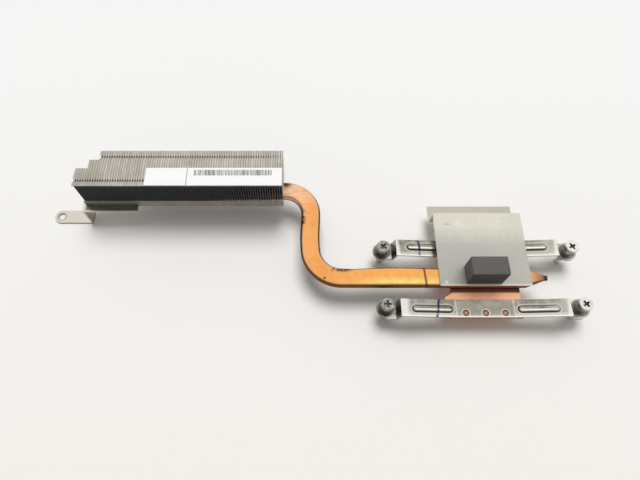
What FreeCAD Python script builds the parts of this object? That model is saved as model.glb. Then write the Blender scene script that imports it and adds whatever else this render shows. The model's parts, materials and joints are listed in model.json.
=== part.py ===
import FreeCAD, Part
import Sketcher
import os
import re

# Laptop heatsink: a copper plate on the chip, a flattened heat pipe and a stack of folded fins.
# Millimetres. Origin at the middle of the copper plate's underside, +X to the pipe's tip,
# +Y to the fins, +Z away from the circuit board.

SIZES = {
    # Copper plate and the stakes that hold the spring arms
    "base_length": 23.8,
    "base_setback": 0.2,
    "base_thick": 1.5,
    "waist_inset": 2.3,
    "waist_half_depth": 5.2,
    "waist_flare": 1.4,
    "stake_pitch": 6.1,
    "stake_shift": 1.4,
    "stake_radius": 1.0,
    "stake_play": 0.03,
    "stake_recess": 0.12,
    "stake_sides": 10,
    # Flattened heat pipe
    "pipe_width": 6.4,
    "pipe_thick": 2.6,
    "pipe_start": -120.5,
    "pipe_fin_line": 31.2,
    "pipe_cross_line": -53.8,
    "pipe_base_line": -0.7,
    "pipe_fin_bend": 9.0,
    "pipe_base_bend": 10.0,
    "pipe_overhang": 1.6,
    "tip_length": 6.2,
    "tip_width": 1.7,
    "tip_thick": 1.2,
    "nub_length": 0.9,
    "end_flats": 4,
    # Spring arms and their screw eyes
    "arm_thick": 0.5,
    "arm_width": 5.7,
    "front_arm_line": 10.4,
    "rear_arm_line": 9.8,
    "eye_setback": 4.2,
    "arm_flat": 9.0,
    "arm_rise": 1.3,
    "arm_step": 1.1,
    "eye_radius": 3.1,
    "eye_height": 0.0,
    "eye_play": 0.08,
    "screw_spread": 30.4,
    "screw_line": 9.7,
    "bead_length": 13.0,
    "bead_width": 2.5,
    "bead_height": 0.45,
    "bead_inset": 0.9,
    "bead_shift": 0.3,
    "bead_slope": 35.0,
    # Captive screws and their retaining rings
    "head_radius": 2.15,
    "head_tall": 4.3,
    "neck_radius": 1.3,
    "neck_below_ring": 0.2,
    "thread_radius": 1.0,
    "screw_end_play": 0.1,
    "ring_thick": 0.4,
    "ring_radius": 2.3,
    "ring_gap": 1.6,
    "ring_play": 0.06,
    "ring_sides": 10,
    "cross_span": 2.9,
    "cross_width": 0.75,
    "cross_deep": 0.9,
    # Cover plate and rubber block
    "cover_left_overlap": 1.7,
    "cover_right_overlap": 3.1,
    "cover_front": -3.8,
    "cover_back": 21.6,
    "cover_thick": 0.5,
    "cover_rise": 1.0,
    "cover_drop": 5.4,
    "lip_depth": 5.6,
    "sheet_bend": 0.3,
    "block_length": 11.3,
    "block_depth": 6.1,
    "block_tall": 7.5,
    "block_shift": 0.15,
    "block_inset": 0.6,
    "block_edge": 0.4,
    # Folded fins
    "fin_pitch": 0.8,
    "fin_sheet": 0.15,
    "fin_tall": 12.9,
    "fin_depth": 13.5,
    "fin_depth_middle": 10.0,
    "fin_depth_short": 6.7,
    "fin_front": 26.2,
    "stack_right": -63.0,
    "full_fins": 75,
    "middle_fins": 4,
    "short_fins": 5,
    "tab_tall": 3.2,
    "lock_width": 1.4,
    "lock_deep": 0.5,
    "lock_front": 1.3,
    "lock_back": 1.7,
    "slot_play": 0.05,
    # Bracket with the fixing ear
    "bracket_thick": 0.5,
    "bracket_length": 18.2,
    "bracket_overhang": 0.6,
    "bracket_ahead": 2.2,
    "bracket_depth": 9.5,
    "ear_drop": 8.3,
    "ear_width": 4.9,
    "ear_length": 13.8,
    "ear_hole_radius": 1.2,
    # Paper labels
    "label_thick": 0.1,
    "label_depth": 6.6,
    "label_inset": 0.2,
    "left_label_length": 13.3,
    "right_label_length": 30.6,
    "label_gap": 0.08,
}

doc = FreeCAD.newDocument("laptop_heatsink")
sheet = doc.addObject("Spreadsheet::Sheet", "sizes")
for row, (alias, value) in enumerate(SIZES.items(), start=1):
    sheet.set("A%d" % row, alias.replace("_", " "))
    sheet.set("B%d" % row, str(value))
    sheet.setAlias("B%d" % row, alias)
doc.recompute()

# Heights that several pieces share, written as formulas on the sheet's sizes
PIPE_TOP = "(base_thick + pipe_thick)"
COVER_TOP = "(base_thick + pipe_thick + cover_thick)"
ARM_TOP = "(base_thick + arm_thick)"
FIN_TOP = "(base_thick + fin_tall)"
EAR_BOTTOM = "(base_thick - ear_drop - bracket_thick)"
EYE_HOLE = "(neck_radius + eye_play)"
RING_BOTTOM = "(eye_height - arm_thick - screw_end_play - ring_thick)"
STACK_LEFT = "(stack_right - fin_pitch * (full_fins + middle_fins + short_fins))"
TOUCH = 0.001


def formula(text):
    """A formula in which each size is read from the sheet."""
    return re.sub(r"[a-z_]+", lambda word: "sizes." + word[0] if word[0] in SIZES else word[0], text)


def number(text):
    """Today's value of a formula."""
    return float(sheet.evalExpression(formula(text)))


def point(x, y):
    """Where two formulas put a point in a sketch."""
    return FreeCAD.Vector(number(x), number(y), 0)


def new_body(label, x="0", y="0", z="0"):
    """An empty body, standing where three formulas say."""
    body = doc.addObject("PartDesign::Body", label)
    body.Label = label
    for axis, text in zip("xyz", (x, y, z)):
        body.setExpression("Placement.Base." + axis, formula(text))
    return body


def new_sketch(body, role, lift="0"):
    """A sketch on one of the body's own planes, lifted along that plane's normal."""
    sketch = body.newObject("Sketcher::SketchObject", body.Name + "_sketch")
    plane = [item for item in body.Origin.OriginFeatures if item.Role == role][0]
    sketch.AttachmentSupport = [(plane, "")]
    sketch.MapMode = "FlatFace"
    sketch.setExpression("AttachmentOffset.Base.z", formula(lift))
    return sketch


def hold(sketch, kind, places, text):
    """A dimension of a sketch that follows a formula."""
    index = sketch.addConstraint(Sketcher.Constraint(kind, *places, number(text)))
    sketch.setExpression("Constraints[%d]" % index, formula(text))


def hold_point(sketch, item, end, x, y):
    """Keep one point of a sketch at two formulas, measured from the sketch's origin."""
    hold(sketch, "DistanceX", (-1, 1, item, end), x)
    hold(sketch, "DistanceY", (-1, 1, item, end), y)


def polygon(sketch, corners):
    """A closed outline through corners that are pairs of formulas."""
    first = sketch.GeometryCount
    points = [point(x, y) for x, y in corners]
    for start, end in zip(points, points[1:] + points[:1]):
        sketch.addGeometry(Part.LineSegment(start, end), False)
    for index, (x, y) in enumerate(corners):
        following = first + (index + 1) % len(corners)
        sketch.addConstraint(Sketcher.Constraint("Coincident", first + index, 2, following, 1))
        hold_point(sketch, first + index, 1, x, y)


def rectangle(sketch, x_low, x_high, y_low, y_high):
    """A closed rectangle between four formulas."""
    polygon(sketch, [(x_low, y_low), (x_high, y_low), (x_high, y_high), (x_low, y_high)])


def circle(sketch, x, y, radius):
    """A circle whose middle and radius are formulas."""
    item = sketch.addGeometry(Part.Circle(point(x, y), FreeCAD.Vector(0, 0, 1), number(radius)), False)
    hold_point(sketch, item, 3, x, y)
    hold(sketch, "Radius", (item,), radius)


def many_sided(sketch, x, y, radius, sides):
    """A closed outline of equal sides round a middle, for small stakes, holes and rings."""
    count = round(number(sides))
    corners = []
    for index in range(count):
        turn = "(%d * 360 / %d)" % (index, count)
        along = "%s + (%s) * cos(%s)" % (x, radius, turn)
        across = "%s + (%s) * sin(%s)" % (y, radius, turn)
        corners.append((along, across))
    polygon(sketch, corners)


def flattened_round(sketch, x, y, length, width):
    """A long outline with rounded ends made of a few flats, along the sketch's first axis."""
    flats = 2 * round(number("end_flats") / 2)
    reach = "((%s) - (%s)) / 2" % (length, width)
    corners = []
    for sign, start in (("+", -90), ("-", 90)):
        for index in range(flats + 1):
            turn = "(%d + %d * 180 / %d)" % (start, index, flats)
            along = "%s %s %s + (%s) / 2 * cos(%s)" % (x, sign, reach, width, turn)
            across = "%s + (%s) / 2 * sin(%s)" % (y, width, turn)
            corners.append((along, across))
    polygon(sketch, corners)


def pad(sketch, length, backward=False, middle=False):
    """Material raised from a sketch."""
    body = sketch.getParentGeoFeatureGroup()
    feature = body.newObject("PartDesign::Pad", body.Name + "_pad")
    feature.Profile = sketch
    feature.setExpression("Length", formula(length))
    feature.Reversed = backward
    feature.Midplane = middle
    return feature


def pocket(sketch, length, backward=False):
    """Material cut away below a sketch. The volume has to fall, or the cut points the wrong way."""
    body = sketch.getParentGeoFeatureGroup()
    doc.recompute()
    before = body.Shape.Volume
    feature = body.newObject("PartDesign::Pocket", body.Name + "_pocket")
    feature.Profile = sketch
    feature.setExpression("Length", formula(length))
    feature.Reversed = backward
    doc.recompute()
    if body.Shape.Volume >= before:
        raise ValueError("%s: a pocket cut nothing" % body.Label)
    return feature


def quarter_turn(sketch, axis, backward=False):
    """Material swept a quarter turn about an upright line in a sketch."""
    body = sketch.getParentGeoFeatureGroup()
    line = Part.LineSegment(point(axis, "0"), point(axis, "base_thick"))
    item = sketch.addGeometry(line, True)
    hold_point(sketch, item, 1, axis, "0")
    hold_point(sketch, item, 2, axis, "base_thick")
    doc.recompute()
    feature = body.newObject("PartDesign::Revolution", body.Name + "_bend")
    feature.Profile = sketch
    feature.ReferenceAxis = (sketch, ["Axis0"])
    feature.Angle = 90
    feature.Reversed = backward
    doc.recompute()
    return feature


def round_folds(feature, places, radius):
    """Round the folds of a bent sheet: its edges along X, at the given places across it."""
    doc.recompute()
    body = feature.getParentGeoFeatureGroup()
    names = []
    for index, item in enumerate(feature.Shape.Edges):
        ends = [vertex.Point for vertex in item.Vertexes]
        for y, z in places:
            spot = point(y, z)
            if all(abs(end.y - spot.x) + abs(end.z - spot.y) < TOUCH for end in ends):
                names.append("Edge%d" % (index + 1))
    if len(names) != len(places):
        raise ValueError("%s: a fold was not found" % body.Label)
    fold = body.newObject("PartDesign::Fillet", body.Name + "_folds")
    fold.Base = (feature, names)
    fold.setExpression("Radius", formula(radius))
    return fold


def base_plate():
    """Copper plate, cut in on its left side, with two rows of stakes that come up through the arms."""
    body = new_body("base_plate")
    front = "-front_arm_line - arm_width / 2 + base_setback"
    back = "rear_arm_line + arm_width / 2 - base_setback"
    waist = "waist_inset - base_length / 2"
    outline = new_sketch(body, "XY_Plane")
    polygon(outline, [
        ("-base_length / 2", front),
        ("base_length / 2", front),
        ("base_length / 2", back),
        ("-base_length / 2", back),
        ("-base_length / 2", "waist_half_depth + waist_flare"),
        (waist, "waist_half_depth"),
        (waist, "-waist_half_depth"),
        ("-base_length / 2", "-waist_half_depth - waist_flare"),
    ])
    pad(outline, "base_thick")
    stakes = new_sketch(body, "XY_Plane", "base_thick")
    for line in ("-front_arm_line - stake_shift", "rear_arm_line + stake_shift"):
        for column in ("-stake_pitch", "0", "stake_pitch"):
            many_sided(stakes, column, line, "stake_radius", "stake_sides")
    pad(stakes, "arm_thick - stake_recess")
    return body


def heat_pipe():
    """Flattened copper pipe: along the fins, round two bends, over the plate, to a pinched tip."""
    body = new_body("heat_pipe")
    middle = "(base_thick + pipe_thick / 2)"
    fin_bend_x = "(pipe_cross_line - pipe_fin_bend)"
    fin_bend_y = "(pipe_fin_line - pipe_fin_bend)"
    base_bend_x = "(pipe_cross_line + pipe_base_bend)"
    base_bend_y = "(pipe_base_line + pipe_base_bend)"
    pipe_end = "(base_length / 2 + pipe_overhang)"
    fin_run = new_sketch(body, "YZ_Plane", "pipe_start")
    flattened_round(fin_run, "pipe_fin_line", middle, "pipe_width", "pipe_thick")
    pad(fin_run, fin_bend_x + " - pipe_start")
    first_bend = new_sketch(body, "YZ_Plane", fin_bend_x)
    flattened_round(first_bend, "pipe_fin_line", middle, "pipe_width", "pipe_thick")
    quarter_turn(first_bend, fin_bend_y, backward=True)
    cross_run = new_sketch(body, "XZ_Plane", "-" + fin_bend_y)
    flattened_round(cross_run, "pipe_cross_line", middle, "pipe_width", "pipe_thick")
    pad(cross_run, fin_bend_y + " - " + base_bend_y)
    last_bend = new_sketch(body, "XZ_Plane", "-" + base_bend_y)
    flattened_round(last_bend, "pipe_cross_line", middle, "pipe_width", "pipe_thick")
    quarter_turn(last_bend, base_bend_x)
    base_run = new_sketch(body, "YZ_Plane", base_bend_x)
    flattened_round(base_run, "pipe_base_line", middle, "pipe_width", "pipe_thick")
    pad(base_run, pipe_end + " - " + base_bend_x)
    tip_root = new_sketch(body, "YZ_Plane", pipe_end)
    flattened_round(tip_root, "pipe_base_line", middle, "pipe_width", "pipe_thick")
    tip_end = new_sketch(body, "YZ_Plane", pipe_end + " + tip_length")
    flattened_round(tip_end, "pipe_base_line", middle, "tip_width", "tip_thick")
    doc.recompute()
    tip = body.newObject("PartDesign::AdditiveLoft", "heat_pipe_tip")
    tip.Profile = tip_root
    tip.Sections = [tip_end]
    doc.recompute()
    nub = new_sketch(body, "YZ_Plane", pipe_end + " + tip_length")
    flattened_round(nub, "pipe_base_line", middle, "tip_width", "tip_thick")
    pad(nub, "nub_length")
    return body


def spring_arm(label, side, arm_line):
    """Pressed steel strip: flat over the stakes, rising outwards, then stepping down to two screw eyes."""
    eye_line = side + "screw_line"
    body = new_body(label)
    reach = "(screw_spread - eye_setback)"
    slope = "atan(arm_rise / (%s - arm_flat))" % reach
    mitre = "arm_thick * tan(%s / 2)" % slope
    end_top = "(%s + arm_rise)" % ARM_TOP
    step_angle = "atan((%s - eye_height) / arm_step)" % end_top
    upper_mitre = "arm_thick * tan((%s + %s) / 2)" % (step_angle, slope)
    lower_mitre = "arm_thick * tan(%s / 2)" % step_angle
    step_end = "(%s + arm_step)" % reach
    half = [
        ("arm_flat", ARM_TOP),
        (reach, end_top),
        (step_end, "eye_height"),
        ("screw_spread", "eye_height"),
        ("screw_spread", "eye_height - arm_thick"),
        (step_end + " - " + lower_mitre, "eye_height - arm_thick"),
        (reach + " - " + upper_mitre, end_top + " - arm_thick"),
        ("arm_flat + " + mitre, "base_thick"),
    ]
    mirrored = [("-(%s)" % x, z) for x, z in reversed(half)]
    profile = new_sketch(body, "XZ_Plane", "-(%s%s)" % (side, arm_line))
    polygon(profile, half + mirrored)
    pad(profile, "arm_width", middle=True)
    eyes = new_sketch(body, "XY_Plane", "eye_height - arm_thick")
    holes = new_sketch(body, "XY_Plane", "eye_height")
    for end in ("-screw_spread", "screw_spread"):
        circle(eyes, end, eye_line, "eye_radius")
        circle(holes, end, eye_line, EYE_HOLE)
    pad(eyes, "arm_thick")
    pocket(holes, "arm_thick * 2")
    stake_holes = new_sketch(body, "XY_Plane", ARM_TOP)
    stake_line = "%s(%s + stake_shift)" % (side, arm_line)
    for column in ("-stake_pitch", "0", "stake_pitch"):
        many_sided(stake_holes, column, stake_line, "stake_radius + stake_play", "stake_sides")
    pocket(stake_holes, "arm_thick * 2")
    bead_sketch = new_sketch(body, "XY_Plane", ARM_TOP)
    bead_sketch.AttachmentOffset = FreeCAD.Placement(
        FreeCAD.Vector(number("arm_flat"), 0, number(ARM_TOP)),
        FreeCAD.Rotation(FreeCAD.Vector(0, 1, 0), -number(slope)))
    bead_sketch.setExpression("AttachmentOffset.Base.x", formula("arm_flat"))
    bead_sketch.setExpression("AttachmentOffset.Rotation.Angle", formula("-" + slope))
    bead_line = "%s(%s + bead_shift)" % (side, arm_line)
    flattened_round(bead_sketch, "bead_inset + bead_length / 2", bead_line, "bead_length", "bead_width")
    bead = pad(bead_sketch, "bead_height")
    bead.setExpression("TaperAngle", formula("-bead_slope"))
    doc.recompute()
    other_bead = body.newObject("PartDesign::Mirrored", label + "_beads")
    other_bead.Originals = [bead]
    mirror = [item for item in body.Origin.OriginFeatures if item.Role == "YZ_Plane"][0]
    other_bead.MirrorPlane = (mirror, [""])
    body.Tip = other_bead
    return body


def screw(label, x, y):
    """Captive screw: a tall cross-slotted head, a neck through the eye, a plain shank for the thread."""
    body = new_body(label, x, y)
    seat = "(eye_height + screw_end_play)"
    head_top = "(%s + head_tall)" % seat
    neck_bottom = "(%s - neck_below_ring)" % RING_BOTTOM
    profile = new_sketch(body, "XZ_Plane")
    polygon(profile, [
        ("0", EAR_BOTTOM),
        ("thread_radius", EAR_BOTTOM),
        ("thread_radius", neck_bottom),
        ("neck_radius", neck_bottom),
        ("neck_radius", seat),
        ("head_radius", seat),
        ("head_radius", head_top),
        ("0", head_top),
    ])
    turned = body.newObject("PartDesign::Revolution", label + "_turned")
    turned.Profile = profile
    turned.ReferenceAxis = (profile, ["V_Axis"])
    cross = new_sketch(body, "XY_Plane", head_top)
    reach = "cross_span / 2"
    half = "cross_width / 2"
    quarter = [(half, half), (half, reach), ("-" + half, reach)]
    corners = []
    for turn in range(4):
        corners += quarter
        quarter = [(("-(%s)" % y_part), x_part) for x_part, y_part in quarter]
    polygon(cross, corners)
    pocket(cross, "cross_deep")
    return body


def retaining_ring(label, x, y):
    """Open spring ring snapped round the screw's neck below the eye."""
    body = new_body(label, x, y)
    outline = new_sketch(body, "XY_Plane", RING_BOTTOM)
    many_sided(outline, "0", "0", "ring_radius", "ring_sides")
    many_sided(outline, "0", "0", "(neck_radius + ring_play) / cos(180 / ring_sides)", "ring_sides")
    pad(outline, "ring_thick")
    mouth = new_sketch(body, "XY_Plane", RING_BOTTOM + " + ring_thick")
    rectangle(mouth, "-ring_gap / 2", "ring_gap / 2", "-ring_radius * 2", "0")
    pocket(mouth, "ring_thick * 2")
    return body


def cover_plate():
    """Folded sheet: flat on the pipe under the block, rising to the back, then a drop and a rear lip."""
    body = new_body("cover_plate")
    crease = "(cover_front + block_inset + block_depth)"
    inside = "cover_back - cover_thick"
    slope = "cover_rise / (cover_back - %s)" % crease
    back_top = COVER_TOP + " + cover_rise"
    back_under = "%s + (%s - %s) * %s" % (PIPE_TOP, inside, crease, slope)
    lip_top = "(%s - cover_drop)" % COVER_TOP
    profile = new_sketch(body, "YZ_Plane", "-base_length / 2 - cover_left_overlap")
    polygon(profile, [
        ("cover_front", PIPE_TOP),
        (crease, PIPE_TOP),
        (inside, back_under),
        (inside, lip_top + " - cover_thick"),
        ("cover_back + lip_depth", lip_top + " - cover_thick"),
        ("cover_back + lip_depth", lip_top),
        ("cover_back", lip_top),
        ("cover_back", back_top),
        (crease, COVER_TOP),
        ("cover_front", COVER_TOP),
    ])
    sheet_metal = pad(profile, "base_length + cover_left_overlap + cover_right_overlap")
    inner = round_folds(sheet_metal, [("cover_back", lip_top), (inside, back_under)], "sheet_bend")
    outer = [("cover_back", back_top), (inside, lip_top + " - cover_thick")]
    round_folds(inner, outer, "sheet_bend + cover_thick")
    return body


def rubber_block():
    """Soft block stuck on the cover plate, with its edges broken."""
    body = new_body("rubber_block")
    outline = new_sketch(body, "XY_Plane", COVER_TOP)
    front = "(cover_front + block_inset)"
    rectangle(outline, "block_shift - block_length / 2", "block_shift + block_length / 2",
              front, front + " + block_depth")
    block = pad(outline, "block_tall")
    doc.recompute()
    edge = body.newObject("PartDesign::Chamfer", "rubber_block_edges")
    upper = number(COVER_TOP) + number("block_tall") / 4
    names = ["Edge%d" % (index + 1) for index, item in enumerate(block.Shape.Edges)
             if item.CenterOfMass.z > upper]
    edge.Base = (block, names)
    edge.setExpression("Size", formula("block_edge"))
    return body


def one_fin(name, depth, slotted):
    """One folded fin at the stack's right end: a web, a top flange, a front tab and the lock notches."""
    body = new_body(name)
    left = "(stack_right - fin_pitch)"
    inner = "(stack_right - fin_sheet)"
    profile = new_sketch(body, "XZ_Plane", "-fin_front")
    polygon(profile, [
        ("stack_right", "base_thick"),
        ("stack_right", FIN_TOP),
        (left, FIN_TOP),
        (left, FIN_TOP + " - fin_sheet"),
        (inner, FIN_TOP + " - fin_sheet"),
        (inner, "base_thick"),
    ])
    pad(profile, depth, backward=True)
    tab = new_sketch(body, "XY_Plane", "base_thick")
    rectangle(tab, left, inner, "fin_front", "fin_front + fin_sheet")
    pad(tab, "tab_tall")
    locks = new_sketch(body, "XY_Plane", FIN_TOP)
    starts = ["fin_front + lock_front"]
    if slotted:
        starts.append("fin_front + %s - lock_back - lock_width" % depth)
    for start in starts:
        polygon(locks, [
            (left, start),
            (left + " + lock_deep", start + " + lock_width / 2"),
            (left, start + " + lock_width"),
        ])
    pocket(locks, "fin_sheet * 2")
    if slotted:
        half_slot = "(pipe_width / 2 + slot_play)"
        slot = new_sketch(body, "YZ_Plane", "stack_right")
        rectangle(slot, "pipe_fin_line - " + half_slot, "pipe_fin_line + " + half_slot,
                  "base_thick - fin_sheet", PIPE_TOP + " + slot_play")
        pocket(slot, "fin_pitch")
    return body


def fin_group(label, fin, first, count):
    """Like fins side by side, each a solid of its own, one pitch apart."""
    doc.recompute()
    pitch = number("fin_pitch")
    copies = []
    for index in range(first, first + count):
        copies.append(fin.Shape.translated(FreeCAD.Vector(-index * pitch, 0, 0)))
    group = doc.addObject("Part::Feature", label)
    group.Label = label
    group.Shape = Part.makeCompound(copies)
    return group


def ear_bracket():
    """Folded sheet under the fins' left end: a flange, a wall going down and an ear with a screw hole."""
    body = new_body("ear_bracket")
    left = "(%s - bracket_overhang)" % STACK_LEFT
    wall = left + " - bracket_thick"
    top = "base_thick"
    front = "(fin_front - bracket_ahead)"
    ear_top = "(base_thick - ear_drop)"
    ear_round = "(%s - ear_length + ear_width / 2)" % left
    ear_line = "(%s + ear_width / 2)" % front
    profile = new_sketch(body, "XZ_Plane", "-(%s)" % ear_line)
    polygon(profile, [
        (left + " + bracket_length", top),
        (wall, top),
        (wall, ear_top),
        (ear_round, ear_top),
        (ear_round, ear_top + " - bracket_thick"),
        (left, ear_top + " - bracket_thick"),
        (left, top + " - bracket_thick"),
        (left + " + bracket_length", top + " - bracket_thick"),
    ])
    pad(profile, "ear_width", middle=True)
    flange = new_sketch(body, "XY_Plane", top + " - bracket_thick")
    rectangle(flange, left, left + " + bracket_length", front, front + " + bracket_depth")
    pad(flange, "bracket_thick")
    end = new_sketch(body, "XY_Plane", ear_top + " - bracket_thick")
    circle(end, ear_round, ear_line, "ear_width / 2")
    pad(end, "bracket_thick")
    hole = new_sketch(body, "XY_Plane", ear_top)
    circle(hole, ear_round, ear_line, "ear_hole_radius")
    pocket(hole, "bracket_thick * 2")
    return body


def label_sheet(label, right, length):
    """Paper sticker lying on the fins' top, along their front edge."""
    paper = doc.addObject("Part::Box", label)
    paper.Label = label
    paper.setExpression("Length", formula(length))
    paper.setExpression("Width", formula("label_depth"))
    paper.setExpression("Height", formula("label_thick"))
    paper.setExpression("Placement.Base.x", formula("%s - %s" % (right, length)))
    paper.setExpression("Placement.Base.y", formula("fin_front + label_inset"))
    paper.setExpression("Placement.Base.z", formula(FIN_TOP))
    return paper


pieces = [base_plate(), heat_pipe()]
pieces.append(spring_arm("front_spring_arm", "-", "front_arm_line"))
pieces.append(spring_arm("rear_spring_arm", "", "rear_arm_line"))
for row_name, row_sign in (("front", "-"), ("rear", "")):
    for end_name, end_sign in (("left", "-"), ("right", "")):
        corner = "%s_%s" % (row_name, end_name)
        place = (end_sign + "screw_spread", row_sign + "screw_line")
        pieces.append(screw("screw_" + corner, *place))
        pieces.append(retaining_ring("clip_" + corner, *place))
pieces.append(cover_plate())
pieces.append(rubber_block())
full_count = int(number("full_fins"))
middle_count = int(number("middle_fins"))
short_count = int(number("short_fins"))
full_fin = one_fin("full_fin", "fin_depth", True)
middle_fin = one_fin("middle_fin", "fin_depth_middle", False)
short_fin = one_fin("short_fin", "fin_depth_short", False)
pieces.append(fin_group("fins_full", full_fin, 0, full_count))
pieces.append(fin_group("fins_middle", middle_fin, full_count, middle_count))
pieces.append(fin_group("fins_short", short_fin, full_count + middle_count, short_count))
pieces.append(ear_bracket())
right_label_edge = "(stack_right - label_inset)"
left_label_edge = right_label_edge + " - right_label_length - label_gap"
pieces.append(label_sheet("right_label", right_label_edge, "right_label_length"))
pieces.append(label_sheet("left_label", left_label_edge, "left_label_length"))
doc.recompute()

for item in doc.Objects:
    if "Invalid" in item.State or "Error" in item.State:
        raise RuntimeError("%s did not build: %s" % (item.Label, item.State))
for piece in pieces:
    if piece.Shape.isNull() or not piece.Shape.isValid():
        raise RuntimeError("%s has no sound solid" % piece.Label)

os.makedirs("parts", exist_ok=True)
for piece in pieces:
    piece.Shape.exportStep("parts/%s.step" % piece.Label)
    box = piece.Shape.BoundBox
    print("%-18s %2d solids, volume %9.2f, X %.2f %.2f  Y %.2f %.2f  Z %.2f %.2f" % (
        piece.Label, len(piece.Shape.Solids), piece.Shape.Volume,
        box.XMin, box.XMax, box.YMin, box.YMax, box.ZMin, box.ZMax))
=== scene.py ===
import json
import math

import bpy
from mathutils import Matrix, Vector


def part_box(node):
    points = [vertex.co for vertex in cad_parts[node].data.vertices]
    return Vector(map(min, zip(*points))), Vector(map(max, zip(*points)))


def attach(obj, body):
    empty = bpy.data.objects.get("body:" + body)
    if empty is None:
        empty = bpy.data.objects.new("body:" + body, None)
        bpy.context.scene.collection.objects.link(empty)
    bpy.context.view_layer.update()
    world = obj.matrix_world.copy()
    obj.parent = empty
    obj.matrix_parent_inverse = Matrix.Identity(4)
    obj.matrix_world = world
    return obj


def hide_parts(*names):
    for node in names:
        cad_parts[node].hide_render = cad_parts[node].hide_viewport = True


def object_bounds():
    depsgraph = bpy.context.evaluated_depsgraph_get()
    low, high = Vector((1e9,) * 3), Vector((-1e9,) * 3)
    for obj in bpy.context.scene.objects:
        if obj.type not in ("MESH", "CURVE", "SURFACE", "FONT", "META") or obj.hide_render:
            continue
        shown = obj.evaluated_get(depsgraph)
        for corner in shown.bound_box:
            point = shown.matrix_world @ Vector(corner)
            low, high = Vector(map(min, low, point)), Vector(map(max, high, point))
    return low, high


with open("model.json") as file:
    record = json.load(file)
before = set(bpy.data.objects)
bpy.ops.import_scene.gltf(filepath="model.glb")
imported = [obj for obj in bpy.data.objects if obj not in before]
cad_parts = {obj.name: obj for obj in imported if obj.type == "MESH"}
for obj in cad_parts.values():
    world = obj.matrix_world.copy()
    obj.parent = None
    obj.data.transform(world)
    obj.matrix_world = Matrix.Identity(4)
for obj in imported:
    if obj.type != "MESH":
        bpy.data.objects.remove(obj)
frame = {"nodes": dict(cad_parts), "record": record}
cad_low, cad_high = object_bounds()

# Copper plate: the block under the pipe that lies on the chip. It is sawn from rolled
# pinkish copper, so it has fine rolling lines, and it holds the spring arms by six stakes.

MM = 0.001
STAKE_PITCH = 6.1 * MM
STAKE_RADIUS = 1.0 * MM
STAKE_ROWS = (-11.8 * MM, 11.2 * MM)
STAKE_FOOT = 1.6 * MM
DISH_TO_LINES = 110.0  # how much deeper a stake's dish is than the rolling lines
SHADOW_FRONT = (-5.2 * MM, -4.9 * MM)
SHADOW_BACK = (3.0 * MM, 4.0 * MM)
DEEP_PINK = (0.92, 0.42, 0.22, 1)
PALE_PINK = (0.99, 0.52, 0.30, 1)
ROLLED_PINK = (0.99, 0.62, 0.40, 1)
RUBBED_PINK = (0.98, 0.72, 0.60, 1)
SHADE_BROWN = (0.17, 0.055, 0.03, 1)
STAKE_DISH_SHADE = (0.16, 0.05, 0.025, 1)


def put(tree, kind, inputs=None, **settings):
    """Add a shader node. An input is a number, a colour or another node's output, which is linked."""
    made = tree.nodes.new("ShaderNode" + kind)
    for name, value in settings.items():
        setattr(made, name, value)
    for name, value in (inputs or {}).items():
        if isinstance(value, bpy.types.NodeSocket):
            tree.links.new(value, made.inputs[name])
        else:
            made.inputs[name].default_value = value
    return made


def math_node(tree, operation, first, second=0.0):
    """One sum or comparison on two values."""
    return put(tree, "Math", {0: first, 1: second}, operation=operation).outputs[0]


def times(tree, first, second):
    """Two values multiplied. For two masks, it is where both hold."""
    return math_node(tree, "MULTIPLY", first, second)


def either(tree, first, second):
    """The stronger of two masks."""
    return math_node(tree, "MAXIMUM", first, second)


def gap(tree, value, middle):
    """How far a value is from a middle, on either side."""
    return math_node(tree, "ABSOLUTE", math_node(tree, "SUBTRACT", value, middle))


def length_of(tree, first, second):
    """The length of two parts at right angles."""
    squares = [times(tree, part, part) for part in (first, second)]
    return math_node(tree, "SQRT", math_node(tree, "ADD", *squares))


def spread(tree, value, low, high, to_low, to_high):
    """Stretch a range of values onto another, without going past its ends."""
    ranges = {"Value": value, "From Min": low, "From Max": high, "To Min": to_low, "To Max": to_high}
    return put(tree, "MapRange", ranges, clamp=True).outputs[0]


def band(tree, value, rise, fall, most=1.0):
    """A mask that rises over one range of a value and falls again over a later one."""
    return times(tree, spread(tree, value, *rise, 0.0, most), spread(tree, value, *fall, 1.0, 0.0))


def tint(tree, amount, low, high):
    """A colour between two others, by an amount from 0 to 1."""
    blend = put(tree, "Mix", {"Factor": amount, 6: low, 7: high}, data_type="RGBA", clamp_factor=True)
    return blend.outputs[2]


def split(tree, place):
    """The three parts of a place or a direction."""
    return put(tree, "SeparateXYZ", {0: place}).outputs


def facing(tree):
    """The three parts of the direction that a flat face looks in."""
    return split(tree, put(tree, "NewGeometry").outputs["True Normal"])


def drawn_out(tree, place, by):
    """A place with its parts multiplied, which draws out a pattern along the small ones."""
    return put(tree, "VectorMath", {0: place, 1: by}, operation="MULTIPLY").outputs[0]


def noise(tree, place, fineness, detail, roughness=0.5):
    """A soft random pattern. Its fineness is about how many patches go to a metre."""
    values = {"Vector": place, "Scale": fineness, "Detail": detail, "Roughness": roughness}
    return put(tree, "TexNoise", values).outputs["Fac"]


def new_finish(name):
    """A material with its own node tree, its shader and the place on the piece, in metres."""
    material = bpy.data.materials.new(name)
    material.use_nodes = True
    tree = material.node_tree
    shader = tree.nodes["Principled BSDF"]
    place = put(tree, "TexCoord").outputs["Object"]
    return material, tree, shader, place


def dress(tree, shader, colour, roughness, metallic):
    """Give a shader its patterns of colour and roughness, and its plain metallic value."""
    tree.links.new(colour, shader.inputs["Base Color"])
    tree.links.new(roughness, shader.inputs["Roughness"])
    shader.inputs["Metallic"].default_value = metallic


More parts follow.
